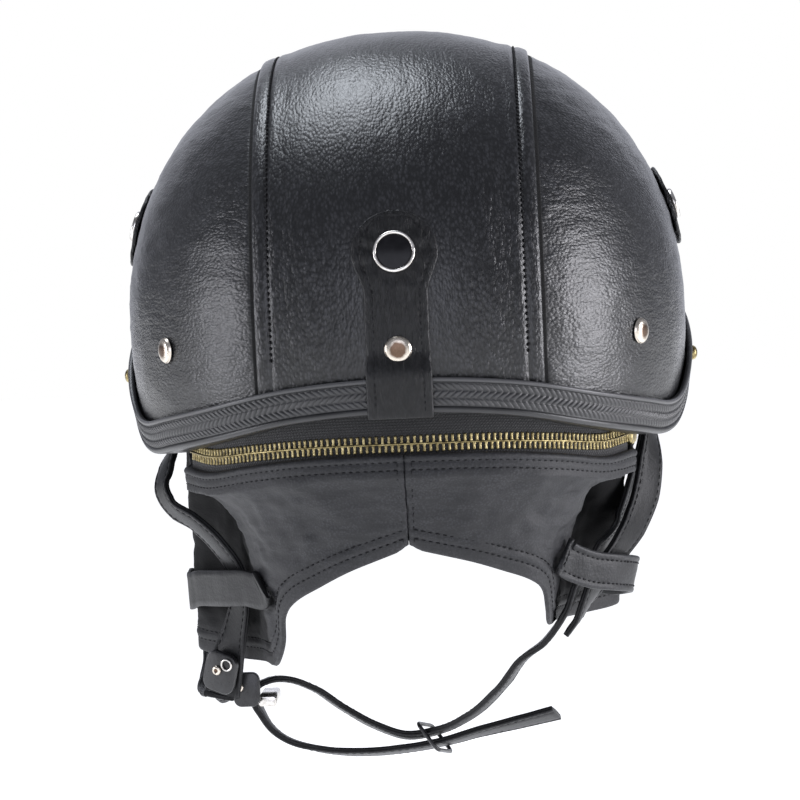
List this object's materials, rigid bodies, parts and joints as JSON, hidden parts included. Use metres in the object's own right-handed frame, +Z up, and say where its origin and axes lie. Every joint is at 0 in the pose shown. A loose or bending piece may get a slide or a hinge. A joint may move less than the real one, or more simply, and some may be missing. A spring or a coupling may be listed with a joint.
{
  "type": "leather motorcycle helmet",
  "caption": "Half-shell leather-covered motorcycle helmet with edge trim, rear and side closing tabs, a zipped neck skirt with ear flaps, and a buckled chin strap with a hanging tail.",
  "frame": {"origin": "where the top of the head meets the padding, under the crown on the helmet's middle line", "axes": "+Z up, -Y towards the brow, +Y towards the nape, +X towards the wearer's left"},
  "size_m": [0.2524, 0.2935, 0.3198],
  "materials": {
    "shell": "moulded shell with padding",
    "leather": "black, semi-gloss, pebbled",
    "soft_leather": "soft black, satin",
    "strap_leather": "black, smooth, edge-stitched",
    "trim": "moulded herringbone",
    "tape": "woven zip tape",
    "brass": "aged",
    "nickel": "polished",
    "gloss": "gloss",
    "plastic": "satin"
  },
  "bodies": {
    "root": {"padded_shell": "shell", "centre_panel": "leather", "side_panel_left": "leather", "side_panel_right": "leather", "edge_trim": "trim", "rear_tab": "leather", "rear_stud_ring": "nickel", "rear_stud_insert": "gloss", "rear_small_stud": "nickel", "side_tab_left": "leather", "side_stud_left_ring": "nickel", "side_stud_left_insert": "gloss", "side_small_stud_left": "nickel", "side_tab_right": "leather", "side_stud_right_ring": "nickel", "side_stud_right_insert": "gloss", "side_small_stud_right": "nickel", "rear_rivet_left": "nickel", "front_rivet_left": "nickel", "brass_stud_left": "brass", "rear_rivet_right": "nickel", "front_rivet_right": "nickel", "brass_stud_right": "brass", "zip_tape_upper": "tape", "zip_chain": "brass", "zip_tape_lower": "tape", "zip_slider": "brass", "skirt_left": "soft_leather", "skirt_right": "soft_leather", "strap_rear_left": "strap_leather", "strap_rear_right": "strap_leather", "strap_front_left": "strap_leather", "chin_strap": "strap_leather", "keeper_left": "soft_leather", "keeper_right": "soft_leather", "buckle_upper_plate": "plastic", "buckle_upper_rivet": "nickel", "buckle_eyelet": "nickel", "buckle_lower_plate": "plastic", "buckle_lower_rivet": "nickel", "buckle_bar": "nickel", "ring_keeper": "nickel"}
  },
  "joints": []
}
